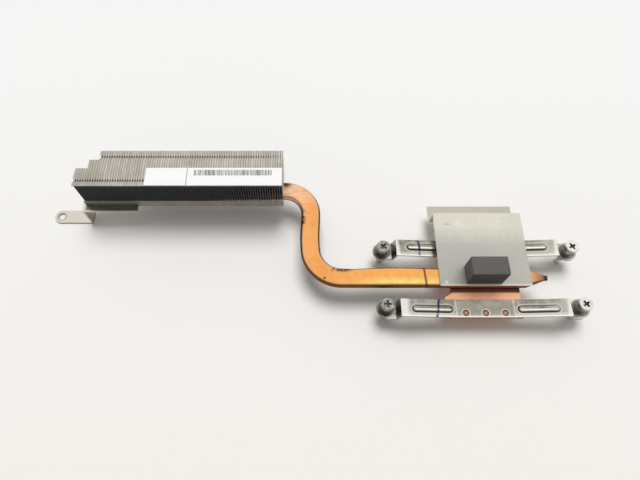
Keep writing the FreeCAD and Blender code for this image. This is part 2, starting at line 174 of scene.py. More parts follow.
def relief(tree, shader, height, depth, normal=None):
    """Let a height pattern, this deep in metres, shape the light on a finish."""
    bump = put(tree, "Bump", {"Height": height, "Distance": depth, "Strength": 1.0})
    if normal is not None:
        tree.links.new(normal, bump.inputs["Normal"])
    tree.links.new(bump.outputs["Normal"], shader.inputs["Normal"])


def paint(node_names, material):
    """Give CAD nodes a finish."""
    for node_name in node_names:
        node = frame["nodes"][node_name]
        node.data.materials.clear()
        node.data.materials.append(material)


def new_effect(name, inputs, outputs):
    """A node group for an effect that several finishes share, with the sockets of its two ends."""
    tree = bpy.data.node_groups.new(name, "ShaderNodeTree")
    for label, kind in inputs:
        tree.interface.new_socket(name=label, in_out="INPUT", socket_type="NodeSocket" + kind)
    for label, kind in outputs:
        tree.interface.new_socket(name=label, in_out="OUTPUT", socket_type="NodeSocket" + kind)
    start = tree.nodes.new("NodeGroupInput")
    end = tree.nodes.new("NodeGroupOutput")
    return tree, start.outputs, end.inputs


# Rolled or drawn metal: fine lines along one direction and larger dull patches
drawn_lines, inside, outside = new_effect(
    "drawn_lines",
    [("Place", "Vector"), ("Stretch", "Vector"), ("Line Fineness", "Float"), ("Patch Fineness", "Float")],
    [("Lines", "Float"), ("Patches", "Float")])
line_place = drawn_out(drawn_lines, inside["Place"], inside["Stretch"])
lines = noise(drawn_lines, line_place, inside["Line Fineness"], 4.0, 0.65)
patches = noise(drawn_lines, inside["Place"], inside["Patch Fineness"], 3.0, 0.55)
drawn_lines.links.new(lines, outside["Lines"])
drawn_lines.links.new(patches, outside["Patches"])


def drawn_metal(tree, place, stretch, line_fineness, patch_fineness):
    """Place the drawn lines in a finish, with this metal's own values."""
    values = {"Place": place, "Stretch": stretch, "Line Fineness": line_fineness,
              "Patch Fineness": patch_fineness}
    return put(tree, "Group", values, node_tree=drawn_lines).outputs


# Sheared and sawn edges, a little rounded, where the metal is rubbed brighter
broken_edges, inside, outside = new_effect(
    "broken_edges", [("Radius", "Float")], [("Edge", "Float"), ("Normal", "Vector")])
rounded = put(broken_edges, "Bevel", {"Radius": inside["Radius"]}, samples=6).outputs["Normal"]
flat = put(broken_edges, "NewGeometry").outputs["True Normal"]
turn = put(broken_edges, "VectorMath", {0: rounded, 1: flat}, operation="DOT_PRODUCT").outputs["Value"]
broken_edges.links.new(spread(broken_edges, turn, 0.995, 0.8, 0.0, 1.0), outside["Edge"])
broken_edges.links.new(rounded, outside["Normal"])


def worn_edges(tree, radius):
    """Place the broken edges in a finish, rounded by this radius."""
    return put(tree, "Group", {"Radius": radius}, node_tree=broken_edges).outputs


def from_stakes(tree, x, y):
    """The distance from the nearest stake's middle."""
    column = math_node(tree, "ROUND", math_node(tree, "DIVIDE", x, STAKE_PITCH))
    from_column = math_node(tree, "SUBTRACT", x, times(tree, column, STAKE_PITCH))
    from_rows = [gap(tree, y, row) for row in STAKE_ROWS]
    return length_of(tree, from_column, math_node(tree, "MINIMUM", *from_rows))


copper_plate, tree, shader, place = new_finish("rolled_pink_copper")
metal = drawn_metal(tree, place, (0.12, 1.0, 1.0), 2600.0, 260.0)
rub = worn_edges(tree, 0.18 * MM)
base = tint(tree, spread(tree, metal["Patches"], 0.3, 0.7, 0.0, 1.0), DEEP_PINK, PALE_PINK)
streaked = tint(tree, spread(tree, metal["Lines"], 0.3, 0.75, 0.0, 0.5), base, ROLLED_PINK)
rubbed = tint(tree, times(tree, rub["Edge"], 0.5), streaked, RUBBED_PINK)
x, y, z = split(tree, place)
# Painted shadow: a dark brown band on the plate along and under the pipe, and painted shade on the plate's
# front face.
pipe_shadow = band(tree, y, SHADOW_FRONT, SHADOW_BACK, 0.96)
front_side_shade = spread(tree, facing(tree)[1], -0.8, -0.5, 0.85, 0.0)
brown_shaded = tint(tree, either(tree, pipe_shadow, front_side_shade), rubbed, SHADE_BROWN)
from_stake = from_stakes(tree, x, y)
on_stake = math_node(tree, "GREATER_THAN", z, STAKE_FOOT)
# Painted shade: each stake's dish darkens towards its rim.
rim = times(tree, spread(tree, from_stake, 0.1 * STAKE_RADIUS, 0.8 * STAKE_RADIUS, 0.0, 0.95), on_stake)
dish_shaded = tint(tree, rim, brown_shaded, STAKE_DISH_SHADE)
dress(tree, shader, dish_shaded, spread(tree, metal["Patches"], 0.3, 0.7, 0.44, 0.58), 0.35)
dish = times(tree, spread(tree, from_stake, 0.0, STAKE_RADIUS, 0.0, 1.0), on_stake)
dished = math_node(tree, "ADD", times(tree, dish, DISH_TO_LINES), metal["Lines"])
relief(tree, shader, dished, 0.006 * MM, rub["Normal"])
paint(["base_plate"], copper_plate)

# Heat pipe: a round copper tube with a wick inside, pressed flat, bent twice by hand over a
# former, and pinched and sealed at its right end. Soldering heat has tinted it orange and gold.

PIPE_SIDES = 40
BEND_STEPS = 22
SMOOTH_ANGLE = math.radians(40)
HAIR = 0.01 * MM  # how near to a place still counts as there
PIPE_WIDTH = 6.4 * MM
CROSS_LINE = -53.8 * MM  # the run between the two bends
FIN_BEND = 9.0 * MM
BASE_BEND = 10.0 * MM
NUB_LENGTH = 0.9 * MM
PINCH_LENGTH = 6.2 * MM
PINCH_WIDTH = 1.7 * MM
PINCH_THICK = 1.2 * MM
pipe_low, pipe_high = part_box("heat_pipe")
pipe_thick = pipe_high.z - pipe_low.z
pipe_mid = (pipe_low.z + pipe_high.z) / 2
fin_line = pipe_high.y - PIPE_WIDTH / 2
base_line = pipe_low.y + PIPE_WIDTH / 2
pipe_end = pipe_high.x - NUB_LENGTH - PINCH_LENGTH
# The steps by which the run between the bends bows sideways
CROSS_SWAY = (-0.05 * MM, -0.11 * MM, -0.14 * MM, -0.08 * MM, 0.04 * MM, 0.14 * MM)
# Places along the last run, and the pipe's width there as a share of its plain width
swells = ((-40.5 * MM, 0.975), (-37 * MM, 1.0), (-33 * MM, 1.035), (-28 * MM, 1.05), (-22 * MM, 1.03),
          (-16 * MM, 1.0), (pipe_end, 1.0))
# Each step of the pinched tip: its share of the length, and the width and thickness that are left
pinches = ((0.4, 0.72, 0.90), (0.4, 0.42, 0.66), (0.2, PINCH_WIDTH / PIPE_WIDTH, PINCH_THICK / pipe_thick))
SOLDER_SPOT = (-61.5 * MM, 31.2 * MM, 4.1 * MM)
FLUX_SPOT = (-62.4 * MM, 33.4 * MM, 4.1 * MM)
SPECK_SPOT = (-49.6 * MM, -1.1 * MM, 4.1 * MM)
FORMER_SPOT = (-57.0 * MM, 20.5 * MM, 3.0 * MM)
FIRST_CREASE = 20.6 * MM
SECOND_CREASE = -44.0 * MM
SCORE_LINE = -18.0 * MM
SCORE_SLANT = 0.06
ORANGE = (0.90, 0.36, 0.10, 1)
PALE_ORANGE = (0.98, 0.50, 0.19, 1)
GOLD = (0.97, 0.47, 0.11, 1)
YELLOW_HIGHLIGHT = (1.0, 0.80, 0.25, 1)
TIP_RED = (0.88, 0.44, 0.21, 1)
LINE_BROWN = (0.66, 0.26, 0.08, 1)
HAND_BROWN = (0.70, 0.31, 0.10, 1)
PIPE_EDGE_HIGHLIGHT = (1.0, 0.68, 0.36, 1)
SIDE_SHADE_BROWN = (0.12, 0.042, 0.012, 1)
COVER_SHADE_BROWN = (0.27, 0.10, 0.06, 1)
SOLDER_PINK = (0.97, 0.66, 0.43, 1)
WIPE_BROWN = (0.62, 0.27, 0.14, 1)
SCORE_BLACK = (0.10, 0.03, 0.025, 1)
FLUX_BLACK = (0.05, 0.03, 0.025, 1)
CREASE_SHADE_BLACK = (0.06, 0.022, 0.014, 1)
SEAL_BLACK = (0.07, 0.03, 0.02, 1)


def new_piece(name, scale=(1, 1, 1)):
    """Name and stretch the primitive just added, and put its place into its mesh."""
    piece = bpy.context.object
    piece.name = name
    piece.scale = scale
    bpy.ops.object.transform_apply(location=True, rotation=True, scale=True)
    return piece


def pick(piece, kind, wanted):
    """Select the wanted corners, edges or faces of a piece, and stay in edit mode."""
    bpy.ops.object.mode_set(mode="EDIT")
    bpy.ops.mesh.select_mode(type=kind)
    bpy.ops.mesh.select_all(action="DESELECT")
    bpy.ops.object.mode_set(mode="OBJECT")
    parts = {"VERT": piece.data.vertices, "EDGE": piece.data.edges, "FACE": piece.data.polygons}
    for part in parts[kind]:
        part.select = wanted(part)
    bpy.ops.object.mode_set(mode="EDIT")


def face_outwards():
    """Turn every face of the piece in hand outwards, and leave edit mode."""
    bpy.ops.mesh.select_all(action="SELECT")
    bpy.ops.mesh.normals_make_consistent(inside=False)
    bpy.ops.object.mode_set(mode="OBJECT")


def draw_on(x, y=0.0):
    """Lengthen the pipe by a straight run from its open end."""
    bpy.ops.mesh.extrude_edges_move(TRANSFORM_OT_translate={"value": (x, y, 0)})


def spot(tree, place, middle, core, rim, most):
    """A round mark: strongest inside its core, and gone at its rim."""
    away = put(tree, "VectorMath", {0: place, 1: middle}, operation="DISTANCE").outputs["Value"]
    return spread(tree, away, core, rim, most, 0.0)


bpy.ops.object.select_all(action="DESELECT")
bpy.ops.mesh.primitive_circle_add(vertices=PIPE_SIDES, radius=pipe_thick / 2, fill_type="NOTHING",
                                  location=(pipe_low.x, fin_line, pipe_mid), rotation=(0, math.pi / 2, 0))
pipe = new_piece("bent_pipe")
pick(pipe, "VERT", lambda corner: corner.co.y > fin_line + HAIR)
bpy.ops.transform.translate(value=(0, PIPE_WIDTH - pipe_thick, 0))
bpy.ops.mesh.select_all(action="SELECT")
bpy.ops.transform.translate(value=(0, -(PIPE_WIDTH - pipe_thick) / 2, 0))
draw_on(CROSS_LINE - FIN_BEND - pipe_low.x)
bpy.ops.mesh.spin(steps=BEND_STEPS, angle=math.pi / 2, axis=(0, 0, 1),
                  center=(CROSS_LINE - FIN_BEND, fin_line - FIN_BEND, pipe_mid))
cross_run = base_line + BASE_BEND - (fin_line - FIN_BEND)
for sideways in CROSS_SWAY:
    draw_on(sideways, cross_run / len(CROSS_SWAY))
here = CROSS_LINE + sum(CROSS_SWAY) + BASE_BEND
bpy.ops.mesh.spin(steps=BEND_STEPS, angle=math.pi / 2, axis=(0, 0, -1),
                  center=(here, base_line + BASE_BEND, pipe_mid))
width_now = 1.0
for stop, width in swells:
    draw_on(stop - here)
    here = stop
    bpy.ops.transform.resize(value=(1, width / width_now, 1), center_override=(here, pipe_low.y, pipe_mid))
    width_now = width
thick_now = 1.0
for share, width, thick in pinches:
    draw_on(PINCH_LENGTH * share)
    here += PINCH_LENGTH * share
    narrower = (1, width / width_now, thick / thick_now)
    bpy.ops.transform.resize(value=narrower, center_override=(here, base_line, pipe_mid))
    width_now, thick_now = width, thick
draw_on(NUB_LENGTH)
bpy.ops.mesh.edge_face_add()
pick(pipe, "VERT", lambda corner: corner.co.x < pipe_low.x + HAIR)
bpy.ops.mesh.edge_face_add()
face_outwards()
bpy.ops.object.shade_smooth_by_angle(angle=SMOOTH_ANGLE)

copper_pipe, tree, shader, place = new_finish("heat_tinted_copper")
metal = drawn_metal(tree, place, (0.3, 0.3, 1.0), 2600.0, 130.0)
x, y, z = split(tree, place)
warm = tint(tree, spread(tree, metal["Patches"], 0.35, 0.65, 0.0, 1.0), ORANGE, PALE_ORANGE)
gilded = tint(tree, spread(tree, x, -50 * MM, -30 * MM, 0.0, 0.7), warm, GOLD)
# Painted highlight: a yellow streak along the front of the last run's top.
front_highlight = band(tree, y, (-4.0 * MM, -3.3 * MM), (-2.4 * MM, -0.4 * MM), 0.9)
along_run = band(tree, x, (-42 * MM, -29 * MM), (-16 * MM, -11 * MM))
run_highlighted = tint(tree, times(tree, front_highlight, along_run), gilded, YELLOW_HIGHLIGHT)
reddened = tint(tree, spread(tree, x, 10 * MM, 15 * MM, 0.0, 0.8), run_highlighted, TIP_RED)
streaked = tint(tree, spread(tree, metal["Lines"], 0.45, 0.8, 0.0, 0.3), reddened, LINE_BROWN)
handled = noise(tree, place, 620.0, 6.0, 0.7)
mottled = tint(tree, spread(tree, handled, 0.52, 0.7, 0.0, 0.5), streaked, HAND_BROWN)
lean = split(tree, put(tree, "NewGeometry").outputs["Normal"])[2]
# Painted highlight: a pale line where the flat top turns down into the rounded side.
pipe_edge_highlighted = tint(tree, band(tree, lean, (0.8, 0.9), (0.95, 0.99), 0.55), mottled, PIPE_EDGE_HIGHLIGHT)
# Painted shade: the rounded sides, which lean away from the top, are dark brown.
brown_shaded = tint(tree, spread(tree, lean, 0.76, 0.9, 0.94, 0.0), pipe_edge_highlighted, SIDE_SHADE_BROWN)
# Painted shade: the pipe's side darkens where it runs in under the cover.
under_cover_shade = times(tree, spread(tree, x, -14.5 * MM, -12.5 * MM, 0.0, 0.9),
                  spread(tree, z, 3.4 * MM, 4.0 * MM, 1.0, 0.0))
cover_shaded = tint(tree, under_cover_shade, brown_shaded, COVER_SHADE_BROWN)
solder = times(tree, spot(tree, place, SOLDER_SPOT, 0.5 * MM, 13.0 * MM, 0.95),
               spread(tree, z, 2.6 * MM, 3.8 * MM, 0.2, 1.0))
tinned = tint(tree, solder, cover_shaded, SOLDER_PINK)
wiped = noise(tree, drawn_out(tree, place, (0.14, 1.0, 1.0)), 1400.0, 3.0)
wipe_marks = times(tree, solder, spread(tree, wiped, 0.5, 0.66, 0.0, 0.7))
soldered = tint(tree, wipe_marks, tinned, WIPE_BROWN)
across = math_node(tree, "ADD", x, times(tree, y, SCORE_SLANT))
scored = spread(tree, gap(tree, across, SCORE_LINE), 0.16 * MM, 0.5 * MM, 0.85, 0.0)
marked = tint(tree, scored, soldered, SCORE_BLACK)
burnt = spot(tree, place, FLUX_SPOT, 0.9 * MM, 2.9 * MM, 0.95)
smoke = times(tree, burnt, spread(tree, metal["Lines"], 0.3, 0.6, 0.4, 1.0))
smoked = tint(tree, smoke, marked, FLUX_BLACK)
# Painted shade: broken dark patches in the wrinkles on the inner side of both bends.
first_bend = times(tree, spread(tree, x, -56.4 * MM, -55.2 * MM, 1.0, 0.0),
                   spread(tree, gap(tree, y, FIRST_CREASE), 2.2 * MM, 3.0 * MM, 1.0, 0.0))
second_bend = times(tree, spread(tree, y, 0.6 * MM, 1.5 * MM, 0.0, 0.9),
                    spread(tree, gap(tree, x, SECOND_CREASE), 2.0 * MM, 4.0 * MM, 1.0, 0.0))
broken = spread(tree, noise(tree, place, 850.0, 3.0), 0.42, 0.5, 0.0, 0.95)
crease_shade = times(tree, either(tree, first_bend, second_bend), broken)
painted_crease_shading = tint(tree, crease_shade, smoked, CREASE_SHADE_BLACK)
speck = spot(tree, place, SPECK_SPOT, 0.25 * MM, 0.5 * MM, 0.9)
seal = spread(tree, x, pipe_high.x - 1.5 * NUB_LENGTH, pipe_high.x - NUB_LENGTH, 0.0, 0.85)
sealed = tint(tree, either(tree, speck, seal), painted_crease_shading, SEAL_BLACK)
dress(tree, shader, sealed, spread(tree, metal["Patches"], 0.3, 0.7, 0.28, 0.42), 1.0)
ripples = {"Vector": place, "Scale": 150.0, "Distortion": 3.0, "Detail": 2.0, "Detail Scale": 2.0}
rippled = put(tree, "TexWave", ripples, wave_type="BANDS", bands_direction="Y").outputs["Fac"]
dents = times(tree, rippled, spot(tree, place, FORMER_SPOT, 1.2 * MM, 3.4 * MM, 1.0))
wavy = math_node(tree, "ADD", times(tree, metal["Lines"], 0.03), times(tree, handled, 0.25))
relief(tree, shader, math_node(tree, "ADD", wavy, dents), 0.14 * MM)
pipe.data.materials.append(copper_pipe)
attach(pipe, "heatsink")
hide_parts("heat_pipe")

# Fins: folded aluminium sheets, each with a top flange that meets the next fin. They are
# clinched to each other along two notched lines, and soldered round the pipe at the bottom.

FIN_PITCH = 0.8 * MM
FIN_SHIFT = 0.01  # share of a pitch by which a fin's own face counts as its own
TAB_TOP = 4.7 * MM
END_SKIN = 0.7 * MM  # the outer side of an end fin, which stays bright
short_low, short_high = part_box("fins_short")
middle_low, middle_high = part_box("fins_middle")
full_low, full_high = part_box("fins_full")
FIN_DULL = (0.53, 0.485, 0.43, 1)
FIN_BRIGHT = (0.74, 0.69, 0.62, 1)
FIN_GREY = (0.44, 0.405, 0.355, 1)
SEAM_SHADE_DARK = (0.075, 0.069, 0.063, 1)
TAB_SHADE = (0.10, 0.096, 0.088, 1)
SHEET_EDGE_SHADE = (0.13, 0.14, 0.16, 1)
CHANNEL_SHADE_DARK = (0.045, 0.051, 0.062, 1)


def own_value(tree, number):
    """A fixed random value, from 0 to 1, for each whole number."""
    return put(tree, "TexWhiteNoise", {"W": number}, noise_dimensions="1D").outputs["Value"]


fin_metal, tree, shader, place = new_finish("folded_mill_aluminium")
metal = drawn_metal(tree, place, (1.0, 0.15, 0.4), 2200.0, 150.0)
x, y, z = split(tree, place)
along = math_node(tree, "DIVIDE", math_node(tree, "SUBTRACT", full_high.x, x), FIN_PITCH)
counted = math_node(tree, "ADD", along, FIN_SHIFT)
each_fin = own_value(tree, math_node(tree, "FLOOR", counted))
within = math_node(tree, "FRACT", counted)
crown = times(tree, spread(tree, within, 0.0, 0.3, 0.0, 1.0), spread(tree, within, 0.9, 1.0, 1.0, 0.35))
sideways, forwards, upwards = facing(tree)
on_top = spread(tree, upwards, 0.6, 0.9, 0.0, 1.0)
on_front = spread(tree, forwards, -0.9, -0.6, 1.0, 0.0)
# Painted shade: dark lines in the rounded folds and gaps between neighbouring fins, on the top and front.
seam_shade = times(tree, spread(tree, crown, 0.05, 0.75, 0.9, 0.0), either(tree, on_top, on_front))
bright = tint(tree, spread(tree, metal["Patches"], 0.3, 0.7, 0.0, 1.0), FIN_DULL, FIN_BRIGHT)
varied = tint(tree, times(tree, each_fin, 0.5), bright, FIN_GREY)
seam_shaded = tint(tree, seam_shade, varied, SEAM_SHADE_DARK)
on_tab = times(tree, on_front, math_node(tree, "LESS_THAN", z, TAB_TOP))
shaded = tint(tree, times(tree, on_tab, 0.55), seam_shaded, TAB_SHADE)
# Painted shade: the sheets' front edges above the tabs are dark blue-grey.
sheet_end = times(tree, on_front, math_node(tree, "GREATER_THAN", z, TAB_TOP))
sheet_end_shaded = tint(tree, times(tree, sheet_end, 0.8), shaded, SHEET_EDGE_SHADE)
# Painted shade: the fins' sides deep in the narrow channels between them are near black.
on_side = spread(tree, math_node(tree, "ABSOLUTE", sideways), 0.6, 0.9, 0.0, 1.0)
inside_stack = math_node(tree, "LESS_THAN", x, full_high.x - 0.03 * MM)
past_short = math_node(tree, "GREATER_THAN", y, short_high.y)
past_middle = math_node(tree, "GREATER_THAN", y, middle_high.y)
end_steps = math_node(tree, "ADD", times(tree, past_short, middle_low.x - short_low.x),
                      times(tree, past_middle, full_low.x - middle_low.x))
last_fin = math_node(tree, "ADD", end_steps, short_low.x + END_SKIN)
behind_last = math_node(tree, "GREATER_THAN", x, last_fin)
channel_shade = times(tree, times(tree, on_side, inside_stack), behind_last)
shade_darkened = tint(tree, channel_shade, sheet_end_shaded, CHANNEL_SHADE_DARK)
dress(tree, shader, shade_darkened, spread(tree, metal["Lines"], 0.3, 0.7, 0.36, 0.52), 1.0)
relief(tree, shader, times(tree, crown, on_top), 0.05 * MM)
paint(["fins_full", "fins_middle", "fins_short"], fin_metal)

# Bracket: a pressed steel flange soldered under the left fins, folded down to a lower ear
# with a hole for the case screw. Satin sheet with fine rolling lines.

EAR_THICK = 0.5 * MM
RING_RADIUS = 1.4 * MM
FLANGE_GAP = 0.2 * MM
bracket_low, bracket_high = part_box("ear_bracket")
flange_left = short_low.x - FLANGE_GAP
ear_top = bracket_low.z + EAR_THICK
mounts = {mount["name"]: mount["pos_m"] for mount in frame["record"]["mounts"]}
hole = mounts["ear_hole"]
SATIN_DULL = (0.64, 0.595, 0.53, 1)
SATIN_BRIGHT = (0.80, 0.75, 0.67, 1)
ROLLED_SATIN = (0.86, 0.82, 0.75, 1)
FIN_SHADE = (0.18, 0.185, 0.185, 1)
RUBBED_SATIN = (0.88, 0.87, 0.84, 1)
OUTLINE_DARK = (0.17, 0.16, 0.14, 1)
bracket_metal, tree, shader, place = new_finish("satin_bracket_sheet")
metal = drawn_metal(tree, place, (0.15, 1.0, 1.0), 2400.0, 180.0)
rub = worn_edges(tree, 0.15 * MM)
base = tint(tree, metal["Patches"], SATIN_DULL, SATIN_BRIGHT)
streaked = tint(tree, spread(tree, metal["Lines"], 0.35, 0.75, 0.0, 0.4), base, ROLLED_SATIN)
x, y, z = split(tree, place)
# Painted shade: the flange's top is dark under and just in front of the fins.
on_flange = times(tree, math_node(tree, "GREATER_THAN", x, flange_left),
                  math_node(tree, "GREATER_THAN", z, bracket_high.z - 0.1 * MM))
under_fins = spread(tree, y, bracket_low.y + 0.3 * MM, bracket_low.y + 0.7 * MM, 0.0, 0.9)
shade_darkened = tint(tree, times(tree, on_flange, under_fins), streaked, FIN_SHADE)
rubbed = tint(tree, times(tree, rub["Edge"], 0.3), shade_darkened, RUBBED_SATIN)
from_hole = length_of(tree, gap(tree, x, hole[0]), gap(tree, y, hole[1]))
# A dark ring round the hole, and painted shade on the ear's upright sides.
pressed_ring = spread(tree, gap(tree, from_hole, RING_RADIUS), 0.1 * MM, 0.25 * MM, 0.6, 0.0)
upright_side_shade = times(tree, spread(tree, math_node(tree, "ABSOLUTE", facing(tree)[2]), 0.2, 0.5, 1.0, 0.0),
                spread(tree, z, ear_top, ear_top + 0.2 * MM, 0.8, 0.25))
outlined = tint(tree, either(tree, pressed_ring, upright_side_shade), rubbed, OUTLINE_DARK)
dress(tree, shader, outlined, spread(tree, metal["Lines"], 0.3, 0.7, 0.32, 0.46), 1.0)
relief(tree, shader, metal["Lines"], 0.004 * MM, rub["Normal"])
paint(["ear_bracket"], bracket_metal)

# Labels: two white paper stickers along the fins' front edge. The right one carries a plain
# row of printed bars that stand for nothing.

BAR_WIDTH = 0.44 * MM
label_low, label_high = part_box("right_label")
bars_left = label_low.x + 2.3 * MM
bars_right = label_high.x - 3.2 * MM
bars_front = label_high.y - 2.9 * MM
bars_back = label_high.y - 0.8 * MM
PAPER_WHITE = (0.92, 0.92, 0.915, 1)
FIBRE_WHITE = (0.96, 0.96, 0.955, 1)
INK_AND_SHADE_BLACK = (0.03, 0.03, 0.035, 1)
paper, tree, shader, place = new_finish("printed_label_paper")
x, y = split(tree, place)[:2]
fibre = noise(tree, place, 2600.0, 4.0)
sheet_white = tint(tree, fibre, PAPER_WHITE, FIBRE_WHITE)
in_bars = math_node(tree, "DIVIDE", x, BAR_WIDTH)
bar_width = spread(tree, own_value(tree, math_node(tree, "FLOOR", in_bars)), 0.0, 1.0, 0.3, 0.85)
bars = math_node(tree, "LESS_THAN", math_node(tree, "FRACT", in_bars), bar_width)
for side, operation, part in ((bars_left, "GREATER_THAN", x), (bars_right, "LESS_THAN", x),
                              (bars_front, "GREATER_THAN", y), (bars_back, "LESS_THAN", y)):
    bars = times(tree, bars, math_node(tree, operation, part, side))
worn_ink = times(tree, bars, spread(tree, fibre, 0.25, 0.6, 0.72, 0.9))
# Painted shade: a thin dark line along the gap between the two labels.
label_gap_shade = spread(tree, gap(tree, x, label_low.x), 0.08 * MM, 0.2 * MM, 0.6, 0.0)
printed_and_shaded = tint(tree, either(tree, worn_ink, label_gap_shade), sheet_white, INK_AND_SHADE_BLACK)
dress(tree, shader, printed_and_shaded, spread(tree, fibre, 0.3, 0.7, 0.5, 0.65), 0.0)
relief(tree, shader, fibre, 0.006 * MM)
paint(["left_label", "right_label"], paper)

# Spring arms: two strips pressed from stainless spring steel, with a long bead on each half
# and three holes staked to the plate. A workshop pen line crosses each one.

FRONT_LINE = -10.4 * MM
REAR_LINE = 9.8 * MM
ARM_HALF = 2.85 * MM
ARM_FLAT = 9.0 * MM
END_BEND = 26.2 * MM
END_SLANT = 0.12
BEAD_MIDDLE = 16.4 * MM
BEAD_REACH = 5.25 * MM
BEAD_SHIFT = 0.3 * MM
CREST_SHIFT = 0.3 * MM
EYE_SPREAD = 30.4 * MM
EYE_LINE = 9.7 * MM
# Each pen stroke: a place on it, its slant, and the side of the middle that its arm is on
PEN_STROKES = ((-14.9 * MM, -11.4 * MM, 0.2, "LESS_THAN"), (-18.7 * MM, 10.2 * MM, -0.03, "GREATER_THAN"))
STEEL_DARK = (0.18, 0.165, 0.14, 1)
STEEL_GREY = (0.39, 0.36, 0.315, 1)
STEEL_LINES = (0.54, 0.50, 0.44, 1)
PALE_STEEL = (0.72, 0.69, 0.63, 1)
CLAMPED_STEEL = (0.40, 0.36, 0.30, 1)
FRONT_STEEL = (0.70, 0.67, 0.61, 1)
BEAD_FLANK_SHADE = (0.04, 0.036, 0.03, 1)
CREST_HIGHLIGHT = (0.98, 0.965, 0.94, 1)
FOLD_HIGHLIGHT = (0.93, 0.90, 0.84, 1)
BEND_HIGHLIGHT = (0.93, 0.91, 0.86, 1)
EDGE_HIGHLIGHT = (0.97, 0.95, 0.91, 1)
HOLE_RIM_HIGHLIGHT = (0.90, 0.87, 0.81, 1)
EYE_SHADE_DARK = (0.12, 0.11, 0.095, 1)
RUBBED_STEEL = (0.92, 0.90, 0.86, 1)
FRONT_FACE_SHADE = (0.07, 0.065, 0.055, 1)
PEN_BLUE = (0.012, 0.02, 0.085, 1)


def from_eyes(tree, x, y):
    """The distance from the middle of the nearest eye."""
    off_x = math_node(tree, "SUBTRACT", math_node(tree, "ABSOLUTE", x), EYE_SPREAD)
    off_y = math_node(tree, "SUBTRACT", math_node(tree, "ABSOLUTE", y), EYE_LINE)
    return length_of(tree, off_x, off_y)


arm_metal, tree, shader, place = new_finish("pressed_spring_steel")
metal = drawn_metal(tree, place, (0.12, 1.0, 1.0), 1800.0, 420.0)
rub = worn_edges(tree, 0.2 * MM)
x, y = split(tree, place)[:2]
from_middle = math_node(tree, "ABSOLUTE", x)
at_rear = math_node(tree, "GREATER_THAN", y, 0.0)
at_front = math_node(tree, "LESS_THAN", y, 0.0)
arm_line = spread(tree, at_rear, 0.0, 1.0, FRONT_LINE, REAR_LINE)
bead_line = spread(tree, at_rear, 0.0, 1.0, FRONT_LINE - BEAD_SHIFT, REAR_LINE + BEAD_SHIFT)
before_line = math_node(tree, "SUBTRACT", y, arm_line)
beside_bead = math_node(tree, "SUBTRACT", y, bead_line)
past_bead = math_node(tree, "SUBTRACT", gap(tree, from_middle, BEAD_MIDDLE), BEAD_REACH)
past_end = math_node(tree, "MAXIMUM", past_bead, 0.0)
from_bead = length_of(tree, past_end, beside_bead)
base = tint(tree, spread(tree, metal["Patches"], 0.35, 0.65, 0.0, 1.0), STEEL_DARK, STEEL_GREY)
streaked = tint(tree, spread(tree, metal["Lines"], 0.35, 0.7, 0.0, 0.5), base, STEEL_LINES)
cleaned = tint(tree, spread(tree, x, 18 * MM, 24 * MM, 0.0, 0.4), streaked, PALE_STEEL)
clamped = tint(tree, spread(tree, from_middle, 8.7 * MM, 9.1 * MM, 0.4, 0.0), cleaned, CLAMPED_STEEL)
lit_front = times(tree, spread(tree, before_line, -1.9 * MM, -1.2 * MM, 0.75, 0.0),
                  spread(tree, from_middle, 8.7 * MM, 9.2 * MM, 0.25, 1.0))
lightened = tint(tree, lit_front, clamped, FRONT_STEEL)
# Painted highlight: a pale ring round each bead, on the pressed oval's slope.
bead_ring_highlight = band(tree, from_bead, (1.2 * MM, 1.4 * MM), (1.5 * MM, 1.8 * MM), 0.6)
ring_highlighted = tint(tree, bead_ring_highlight, lightened, PALE_STEEL)
# Painted shade: dark lines along each bead's flanks, darkest on the front side.
outline = band(tree, from_bead, (0.75 * MM, 0.9 * MM), (1.05 * MM, 1.2 * MM))
flank_shade = times(tree, outline, spread(tree, beside_bead, -0.3 * MM, 0.3 * MM, 0.97, 0.55))
flank_shaded = tint(tree, flank_shade, ring_highlighted, BEAD_FLANK_SHADE)
# Painted highlight: a white line along each bead's crest.
crest_highlight = times(tree, spread(tree, gap(tree, beside_bead, -CREST_SHIFT), 0.2 * MM, 0.36 * MM, 1.0, 0.0),
              spread(tree, past_end, 0.1 * MM, 0.7 * MM, 1.0, 0.0))
crest_highlighted = tint(tree, crest_highlight, flank_shaded, CREST_HIGHLIGHT)
# Painted highlight: a pale line along each fold where the flat middle meets the outer parts.
fold_highlight = spread(tree, gap(tree, from_middle, ARM_FLAT), 0.1 * MM, 0.35 * MM, 0.45, 0.0)
painted_crease_shading = tint(tree, fold_highlight, crest_highlighted, FOLD_HIGHLIGHT)
# Painted highlight: a pale band where each end bends down, and at the front arm's left end.
before_bend = math_node(tree, "LESS_THAN", from_middle, END_BEND)
slanted = math_node(tree, "SUBTRACT", from_middle, times(tree, before_line, END_SLANT))
bend_highlight = spread(tree, slanted, END_BEND - 1.5 * MM, END_BEND - 0.7 * MM, 0.0, 0.75)
front_left_end_highlight = times(tree, spread(tree, x, 1.8 * MM - END_BEND, 3.4 * MM - END_BEND, 0.75, 0.0), at_front)
bend_highlighted = tint(tree, times(tree, either(tree, bend_highlight, front_left_end_highlight), before_bend), painted_crease_shading, BEND_HIGHLIGHT)
# Painted highlight: a pale line along each arm's front edge.
front_edge_highlight = spread(tree, before_line, 0.35 * MM - ARM_HALF, 0.65 * MM - ARM_HALF, 0.85, 0.0)
edge_highlighted = tint(tree, times(tree, front_edge_highlight, before_bend), bend_highlighted, EDGE_HIGHLIGHT)
# Painted highlight: a pale rim round each staked hole.
hole_rim_highlight = times(tree, spread(tree, from_stakes(tree, x, y), 1.25 * MM, 1.5 * MM, 0.45, 0.0),
                 math_node(tree, "LESS_THAN", from_middle, ARM_FLAT))
rim_highlighted = tint(tree, hole_rim_highlight, edge_highlighted, HOLE_RIM_HIGHLIGHT)
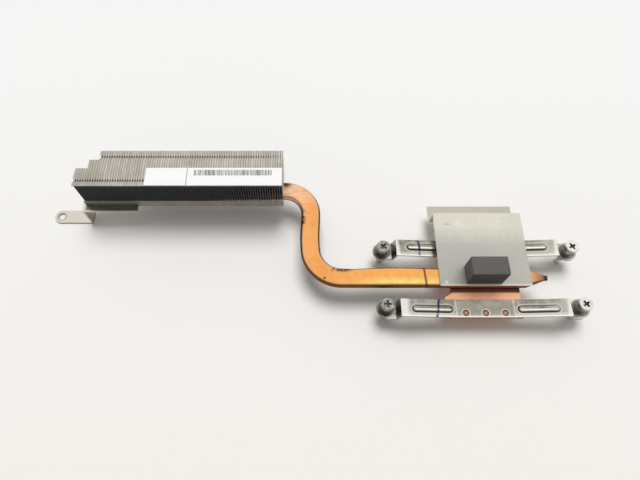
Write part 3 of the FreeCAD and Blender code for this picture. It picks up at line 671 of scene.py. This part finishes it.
# Painted shade: a dark ring on the arm round each screw head.
eye_shaded = tint(tree, spread(tree, from_eyes(tree, x, y), 2.5 * MM, 2.75 * MM, 0.8, 0.0), rim_highlighted, EYE_SHADE_DARK)
rubbed = tint(tree, times(tree, rub["Edge"], 0.7), eye_shaded, RUBBED_STEEL)
# Painted shade: the arms' front-facing sides are near black. The pen strokes below are real ink.
shaded_and_inked = tint(tree, spread(tree, facing(tree)[1], -0.9, -0.6, 0.85, 0.0), rubbed, FRONT_FACE_SHADE)
ink_left = spread(tree, noise(tree, place, 750.0, 1.0), 0.42, 0.52, 0.3, 1.0)
for pen_x, pen_y, slant, arm_side in PEN_STROKES:
    leaning = math_node(tree, "SUBTRACT", x, times(tree, y, slant))
    stroke = spread(tree, gap(tree, leaning, pen_x - slant * pen_y), 0.22 * MM, 0.5 * MM, 0.92, 0.0)
    on_arm = times(tree, times(tree, stroke, ink_left), math_node(tree, arm_side, y, 0.0))
    shaded_and_inked = tint(tree, on_arm, shaded_and_inked, PEN_BLUE)
dress(tree, shader, shaded_and_inked, spread(tree, metal["Lines"], 0.3, 0.7, 0.2, 0.36), 1.0)
hammered = math_node(tree, "ADD", metal["Lines"], times(tree, metal["Patches"], 3.0))
crowned = spread(tree, from_bead, 0.0, 0.9 * MM, 16.0, 0.0)
sunk = times(tree, outline, -8.0)
shaped = math_node(tree, "ADD", math_node(tree, "ADD", crowned, sunk), hammered)
relief(tree, shader, shaped, 0.012 * MM, rub["Normal"])
paint(["front_spring_arm", "rear_spring_arm"], arm_metal)

# Captive screws: turned steel, plated, with a tall head, a pressed cross recess, a neck under
# the head and a rolled thread. Each turns in its arm's eye. The left two are painted darker and
# the right two paler, as shaded and lit copies of one plating.

SCREW_SIDES = 40
THREAD_SMOOTH = math.radians(35)
THREAD_PITCH = 0.4 * MM
THREAD_DEEP = 0.13 * MM
THREAD_RADIUS = 1.0 * MM
THREAD_STEPS = 24
THREAD_START = 0.5 * MM
THREAD_SPARE = 0.8 * MM
TIP_LENGTH = 0.3 * MM
CROSS_REACH = 1.45 * MM
CROSS_HALF = 0.35 * MM
CROSS_DEEP = 0.9 * MM
CROSS_TAPER = 0.8
FLANGE_TALL = 1.3 * MM
SHOULDER_RADIUS = 1.65 * MM
HEAD_EDGE = 0.18 * MM
NECK_RADIUS = 1.3 * MM
NECK_BOTTOM = -1.2 * MM
SEAT = 0.1 * MM
screw_low, screw_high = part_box("screw_front_left")
middle = ((screw_low.x + screw_high.x) / 2, (screw_low.y + screw_high.y) / 2)
head_radius = (screw_high.x - screw_low.x) / 2
head_top = screw_high.z
flange_foot = head_top - FLANGE_TALL
tip_radius = THREAD_RADIUS * 0.6
core = THREAD_RADIUS - THREAD_DEEP
ridge_half = THREAD_PITCH * 0.46
# The blank's outline from the tip upwards, as radius and height
profile = ((core, screw_low.z + TIP_LENGTH), (core, NECK_BOTTOM),
           (NECK_RADIUS, NECK_BOTTOM), (NECK_RADIUS, SEAT),
           (SHOULDER_RADIUS, SEAT), (SHOULDER_RADIUS, flange_foot),
           (head_radius - HEAD_EDGE, flange_foot), (head_radius, flange_foot + HEAD_EDGE),
           (head_radius, head_top - HEAD_EDGE), (head_radius - HEAD_EDGE, head_top))
RUBBED_PLATE = (0.93, 0.92, 0.90, 1)
SHADED_DULL = (0.15, 0.14, 0.12, 1)
SHADED_BRIGHT = (0.56, 0.53, 0.48, 1)
SHADED_STAIN = (0.07, 0.065, 0.055, 1)
SHADED_HOLLOW = (0.11, 0.10, 0.085, 1)
LIT_DULL = (0.72, 0.69, 0.64, 1)
LIT_BRIGHT = (0.97, 0.95, 0.91, 1)
LIT_STAIN = (0.34, 0.31, 0.27, 1)
LIT_HOLLOW = (0.06, 0.055, 0.048, 1)


def screw_finish(name, dull, bright, stain, hollow):
    """Plated steel with rubbed edges, and painted shade in the cross, round the head's side and below the
    head.
    """
    material, tree, shader, place = new_finish(name)
    metal = drawn_metal(tree, place, (0.4, 0.4, 1.6), 2400.0, 900.0)
    rub = worn_edges(tree, 0.12 * MM)
    base = tint(tree, spread(tree, metal["Patches"], 0.3, 0.7, 0.0, 1.0), dull, bright)
    rubbed = tint(tree, times(tree, rub["Edge"], 0.6), base, RUBBED_PLATE)
    stained = tint(tree, spread(tree, metal["Lines"], 0.55, 0.8, 0.0, 0.5), rubbed, stain)
    x, y, z = split(tree, place)
    from_axis = from_eyes(tree, x, y)
    in_cross = times(tree, math_node(tree, "LESS_THAN", from_axis, CROSS_REACH + 0.05 * MM),
                     spread(tree, z, head_top - 0.3 * MM, head_top - 0.03 * MM, 0.95, 0.0))
    above_floor = math_node(tree, "GREATER_THAN", z, head_top - CROSS_DEEP - 0.05 * MM)
    on_side = times(tree, spread(tree, from_axis, head_radius - 0.22 * MM, head_radius, 0.0, 0.75),
                    spread(tree, z, head_top - 0.3 * MM, head_top - 0.12 * MM, 1.0, 0.0))
    below_head = spread(tree, z, flange_foot - 0.5 * MM, flange_foot + 0.1 * MM, 0.35, 0.0)
    shaded = either(tree, times(tree, in_cross, above_floor), either(tree, on_side, below_head))
    hollowed = tint(tree, shaded, stained, hollow)
    dress(tree, shader, hollowed, spread(tree, metal["Lines"], 0.3, 0.7, 0.2, 0.38), 1.0)
    relief(tree, shader, metal["Lines"], 0.006 * MM, rub["Normal"])
    return material


def alone(piece):
    """Select one piece only, to work on it."""
    bpy.ops.object.select_all(action="DESELECT")
    piece.select_set(True)
    bpy.context.view_layer.objects.active = piece


# Painted light: one plating made twice, a shaded copy for the left screws and a lit copy for the right.
shaded_plate = screw_finish("shaded_screw_plating", SHADED_DULL, SHADED_BRIGHT, SHADED_STAIN, SHADED_HOLLOW)
lit_plate = screw_finish("lit_screw_plating", LIT_DULL, LIT_BRIGHT, LIT_STAIN, LIT_HOLLOW)

# The turned blank, from the thread's tip up to the head
bpy.ops.object.select_all(action="DESELECT")
bpy.ops.mesh.primitive_circle_add(vertices=SCREW_SIDES, radius=tip_radius, fill_type="NGON",
                                  location=(*middle, screw_low.z))
first_screw = new_piece("threaded_screw_front_left")
bpy.ops.object.mode_set(mode="EDIT")
radius_now = tip_radius
height_now = screw_low.z
for radius, height in profile:
    bpy.ops.mesh.extrude_region_move(TRANSFORM_OT_translate={"value": (0, 0, height - height_now)})
    wider = radius / radius_now
    bpy.ops.transform.resize(value=(wider, wider, 1), center_override=(*middle, height))
    radius_now, height_now = radius, height
face_outwards()

# The cross recess, pressed into the head
head_middle = Vector((*middle, head_top))
bpy.ops.mesh.primitive_cube_add(size=1, location=head_middle)
cross = new_piece("cross_punch", (2 * CROSS_HALF, 2 * CROSS_HALF, 2 * CROSS_DEEP))
for way in ((1, 0, 0), (-1, 0, 0), (0, 1, 0), (0, -1, 0)):
    side = Vector(way)
    pick(cross, "FACE", lambda face: face.normal.dot(side) > 0.9
         and abs((face.center - head_middle).dot(side) - CROSS_HALF) < HAIR)
    wing = tuple(side * (CROSS_REACH - CROSS_HALF))
    bpy.ops.mesh.extrude_region_move(TRANSFORM_OT_translate={"value": wing})
    bpy.ops.transform.resize(value=(CROSS_TAPER, CROSS_TAPER, 1.0), center_override=head_middle)
face_outwards()
alone(first_screw)
recess = first_screw.modifiers.new("cross_recess", "BOOLEAN")
recess.operation = "DIFFERENCE"
recess.solver = "EXACT"
recess.object = cross
bpy.ops.object.modifier_apply(modifier=recess.name)
bpy.data.objects.remove(cross)

# The thread: a ridge wound round the core
bpy.ops.object.select_all(action="DESELECT")
bpy.ops.mesh.primitive_circle_add(vertices=4, radius=ridge_half, fill_type="NOTHING",
                                  rotation=(math.pi / 2, 0, 0), location=(core, 0, 0))
thread = new_piece("thread_ridge")
bpy.ops.object.mode_set(mode="EDIT")
bpy.ops.transform.resize(value=(THREAD_DEEP / ridge_half, 1, 1), center_override=(core, 0, 0))
bpy.ops.object.mode_set(mode="OBJECT")
helix = thread.modifiers.new("thread", "SCREW")
helix.axis = "Z"
helix.angle = 2 * math.pi
helix.iterations = int((NECK_BOTTOM - screw_low.z - THREAD_SPARE) / THREAD_PITCH)
helix.screw_offset = THREAD_PITCH
helix.steps = THREAD_STEPS
helix.render_steps = THREAD_STEPS
bpy.ops.object.modifier_apply(modifier=helix.name)
bpy.ops.object.mode_set(mode="EDIT")
bpy.ops.mesh.select_all(action="SELECT")
bpy.ops.transform.translate(value=(*middle, screw_low.z + THREAD_START))
face_outwards()
alone(first_screw)
thread.select_set(True)
bpy.ops.object.join()
bpy.ops.object.shade_smooth_by_angle(angle=THREAD_SMOOTH)

# The other three are copies, each turned as it was left
screws = [("front_left", first_screw, shaded_plate)]
for corner, plate, degrees in (("front_right", lit_plate, 35), ("rear_left", shaded_plate, 50),
                               ("rear_right", lit_plate, 28)):
    alone(first_screw)
    bpy.ops.object.duplicate(linked=False)
    screw = bpy.context.object
    screw.name = "threaded_screw_" + corner
    bpy.ops.object.mode_set(mode="EDIT")
    bpy.ops.mesh.select_all(action="SELECT")
    bpy.ops.transform.rotate(value=-math.radians(degrees), orient_axis="Z", center_override=(*middle, 0))
    bpy.ops.transform.translate(value=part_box("screw_" + corner)[0] - screw_low)
    bpy.ops.object.mode_set(mode="OBJECT")
    screws.append((corner, screw, plate))
for corner, screw, plate in screws:
    screw.data.materials.append(plate)
    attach(screw, corner + "_screw")
    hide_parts("screw_" + corner)

# Retaining clips: open rings of hardened grey spring steel, snapped under the eyes so that
# the screws stay in the arms when the heatsink is lifted off.

CLIP_DARK = (0.16, 0.155, 0.15, 1)
CLIP_GREY = (0.34, 0.33, 0.32, 1)
RUBBED_CLIP = (0.62, 0.61, 0.59, 1)
clip_metal, tree, shader, place = new_finish("hardened_clip_steel")
metal = drawn_metal(tree, place, (1.0, 1.0, 1.0), 3000.0, 800.0)
rub = worn_edges(tree, 0.08 * MM)
base = tint(tree, metal["Patches"], CLIP_DARK, CLIP_GREY)
rubbed = tint(tree, times(tree, rub["Edge"], 0.6), base, RUBBED_CLIP)
dress(tree, shader, rubbed, spread(tree, metal["Lines"], 0.3, 0.7, 0.3, 0.45), 1.0)
relief(tree, shader, metal["Lines"], 0.005 * MM, rub["Normal"])
paint(["clip_front_left", "clip_front_right", "clip_rear_left", "clip_rear_right"], clip_metal)

# Cover plate: folded aluminium sheet over the pipe, dull from its mill finish, with a drop at
# the back and a low lip. It has been handled: it has a scratch near the back and a dent in front.

SCRATCH_SPOT = (-9.6 * MM, 17.2 * MM, 5.2 * MM)
SCRATCH_SHAPE = (0.16, 1.0, 0.2)
DENT_SPOT = (-11.6 * MM, -2.7 * MM, 5.0 * MM)
cover_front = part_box("cover_plate")[0].y
COVER_DULL = (0.80, 0.77, 0.68, 1)
COVER_PALE = (0.93, 0.90, 0.80, 1)
COVER_FRONT_SHADE = (0.47, 0.475, 0.455, 1)
LIP_SHADE = (0.50, 0.475, 0.42, 1)
GRAIN_GREY = (0.45, 0.44, 0.41, 1)
SCRATCH_DARK = (0.30, 0.29, 0.28, 1)
PALE_COVER_MARK = (0.95, 0.94, 0.91, 1)
RUBBED_COVER = (0.85, 0.84, 0.82, 1)
cover_metal, tree, shader, place = new_finish("dull_cover_sheet")
metal = drawn_metal(tree, place, (1.0, 0.35, 1.0), 3200.0, 75.0)
rub = worn_edges(tree, 0.2 * MM)
speckle = noise(tree, place, 3600.0, 2.0)
x, y, z = split(tree, place)
base = tint(tree, spread(tree, metal["Patches"], 0.3, 0.7, 0.0, 1.0), COVER_DULL, COVER_PALE)
# Painted shade: the top darkens and greys towards its front.
to_front = times(tree, spread(tree, y, cover_front, 12 * MM, 0.8, 0.6),
                 spread(tree, y, 10 * MM, 16.5 * MM, 1.0, 0.0))
far_front = times(tree, to_front, spread(tree, x, 2 * MM, 14 * MM, 1.0, 0.8))
cover_front_shaded = tint(tree, far_front, base, COVER_FRONT_SHADE)
# Painted shade: the low lip is darker.
lip_shaded = tint(tree, spread(tree, z, -0.4 * MM, 1.0 * MM, 0.6, 0.0), cover_front_shaded, LIP_SHADE)
grained = tint(tree, spread(tree, speckle, 0.4, 0.75, 0.0, 0.3), lip_shaded, GRAIN_GREY)
to_scratch = put(tree, "VectorMath", {0: place, 1: SCRATCH_SPOT}, operation="SUBTRACT").outputs[0]
along_scratch = drawn_out(tree, to_scratch, SCRATCH_SHAPE)
from_scratch = put(tree, "VectorMath", {0: along_scratch}, operation="LENGTH").outputs["Value"]
scratched = tint(tree, spread(tree, from_scratch, 0.1 * MM, 0.3 * MM, 0.55, 0.0), grained, SCRATCH_DARK)
# Painted highlight: a pale line along the front edge. The dent in front is a pale spot.
front_rim_highlight = spread(tree, y, cover_front + 0.3 * MM, cover_front + 0.6 * MM, 0.75, 0.0)
dent = spot(tree, place, DENT_SPOT, 0.35 * MM, 0.8 * MM, 0.9)
whitened = tint(tree, either(tree, front_rim_highlight, dent), scratched, PALE_COVER_MARK)
rubbed = tint(tree, times(tree, rub["Edge"], 0.5), whitened, RUBBED_COVER)
dress(tree, shader, rubbed, spread(tree, speckle, 0.3, 0.7, 0.46, 0.6), 1.0)
relief(tree, shader, speckle, 0.012 * MM, rub["Normal"])
paint(["cover_plate"], cover_metal)

# Rubber block: a firm dark grey pad, moulded with slightly soft edges and stuck on the cover,
# that presses against the case above.

BLOCK_EDGE = 0.45 * MM
EDGE_STEPS = 4
block_low, block_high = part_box("rubber_block")
RUBBER_DARK = (0.085, 0.078, 0.075, 1)
RUBBER_GREY = (0.14, 0.13, 0.125, 1)
DUST_GREY = (0.20, 0.19, 0.18, 1)
BLOCK_FRONT_SHADE = (0.035, 0.033, 0.032, 1)


def above_foot(edge):
    """An edge of the block that isn't on the cover."""
    ends = [block.data.vertices[index].co.z for index in edge.vertices]
    return max(ends) > block_low.z + HAIR


bpy.ops.object.select_all(action="DESELECT")
bpy.ops.mesh.primitive_cube_add(size=1, location=(block_low + block_high) / 2)
block = new_piece("moulded_rubber_block", block_high - block_low)
pick(block, "EDGE", above_foot)
bpy.ops.mesh.bevel(offset=BLOCK_EDGE, segments=EDGE_STEPS, profile=0.5)
bpy.ops.object.mode_set(mode="OBJECT")
bpy.ops.object.shade_smooth_by_angle(angle=SMOOTH_ANGLE)
rubber, tree, shader, place = new_finish("moulded_grey_rubber")
pores = noise(tree, place, 2600.0, 3.0)
dust = noise(tree, place, 320.0, 4.0)
base = tint(tree, pores, RUBBER_DARK, RUBBER_GREY)
dusty = tint(tree, spread(tree, dust, 0.5, 0.8, 0.0, 0.3), base, DUST_GREY)
# Painted shade: the block's front face is darker.
block_front_shaded = tint(tree, spread(tree, facing(tree)[1], -0.9, -0.4, 0.88, 0.0), dusty, BLOCK_FRONT_SHADE)
dress(tree, shader, block_front_shaded, spread(tree, dust, 0.3, 0.7, 0.62, 0.8), 0.0)
relief(tree, shader, pores, 0.02 * MM)
block.data.materials.append(rubber)
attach(block, "heatsink")
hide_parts("rubber_block")

# Table top: the plain pale sheet that the heatsink lies on, level with its lowest point. It is
# smooth and matte, cool white at the back and a little warm towards the front.

FLOOR_SPAN = 6.0
FLOOR_COOL = (0.90, 0.90, 0.90, 1)
FLOOR_WARM = (0.865, 0.835, 0.79, 1)
bpy.ops.object.select_all(action="DESELECT")
bpy.ops.mesh.primitive_plane_add(size=FLOOR_SPAN, location=(0, 0, cad_low.z))
floor = new_piece("table_top")
table, tree, shader, place = new_finish("pale_table_top")
forward = spread(tree, split(tree, place)[1], 90 * MM, -110 * MM, 0.0, 1.0)
tree.links.new(tint(tree, forward, FLOOR_COOL, FLOOR_WARM), shader.inputs["Base Color"])
shader.inputs["Roughness"].default_value = 0.7
floor.data.materials.append(table)

# Light: one soft lamp, nearly overhead and a little behind, casts the shadows, and the metal
# doesn't mirror it. What the metal mirrors is the room: a broad pale ceiling, dimmer walls and
# a pale horizon.

LAMP_PLACE = (0.03, 0.52, 1.55)
LAMP_AIM = (-0.03, 0.0, 0.0)
LAMP_ANGLE = math.radians(30)
LAMP_STRENGTH = 2.06
CEILING_WAY = (0.03, 0.42, 0.907)
ROOM_LIGHT = 0.61
ROOM_MIRRORED = 1.05
WALL_TONE = (0.15, 0.145, 0.135, 1)
CEILING_TONE = (1.0, 1.0, 0.98, 1)
HORIZON_TONE = (0.88, 0.88, 0.87, 1)
lamp_data = bpy.data.lights.new("soft_lamp", "SUN")
lamp_data.angle = LAMP_ANGLE
lamp_data.energy = LAMP_STRENGTH
lamp = bpy.data.objects.new("soft_lamp", lamp_data)
lamp.location = LAMP_PLACE
lamp.rotation_euler = (Vector(LAMP_AIM) - lamp.location).to_track_quat("-Z", "Y").to_euler()
lamp.visible_glossy = False
bpy.context.scene.collection.objects.link(lamp)
room = bpy.data.worlds.new("pale_room")
room.use_nodes = True
tree = room.node_tree
background = tree.nodes["Background"]
ray = put(tree, "TexCoord").outputs["Generated"]
above = put(tree, "VectorMath", {0: ray, 1: CEILING_WAY}, operation="DOT_PRODUCT").outputs["Value"]
walled = tint(tree, spread(tree, above, 0.45, 0.88, 0.0, 1.0), WALL_TONE, CEILING_TONE)
horizon = spread(tree, split(tree, ray)[2], 0.15, 0.62, 1.0, 0.0)
tree.links.new(tint(tree, horizon, walled, HORIZON_TONE), background.inputs["Color"])
path = put(tree, "LightPath").outputs
seen = either(tree, path["Is Camera Ray"], either(tree, path["Is Glossy Ray"], path["Is Transmission Ray"]))
tree.links.new(spread(tree, seen, 0.0, 1.0, ROOM_LIGHT, ROOM_MIRRORED), background.inputs["Strength"])
bpy.context.scene.world = room
bpy.context.scene.view_settings.view_transform = "Standard"

# Camera: the photograph's place and angle. Its focal length, in pixels of a frame 640 wide,
# and its downward pitch were found from the vanishing points of the fins' lines.

PHOTO_WIDTH = 640
FOCAL_PIXELS = 510
PRINCIPAL_X = 305
PITCH_DOWN = 64.5
CAMERA_PLACE = (-55.75 * MM, -59.2 * MM, 153.5 * MM)
camera_data = bpy.data.cameras.new("photo_camera")
camera_data.sensor_width = 36.0
camera_data.lens = FOCAL_PIXELS / PHOTO_WIDTH * camera_data.sensor_width
camera_data.shift_x = (PHOTO_WIDTH / 2 - PRINCIPAL_X) / PHOTO_WIDTH
camera_data.clip_start = 5 * MM
camera = bpy.data.objects.new("photo_camera", camera_data)
camera.location = CAMERA_PLACE
camera.rotation_euler = (math.radians(90 - PITCH_DOWN), 0, 0)
bpy.context.scene.collection.objects.link(camera)
bpy.context.scene.camera = camera

# Bring the scene up to date
bpy.context.view_layer.update()
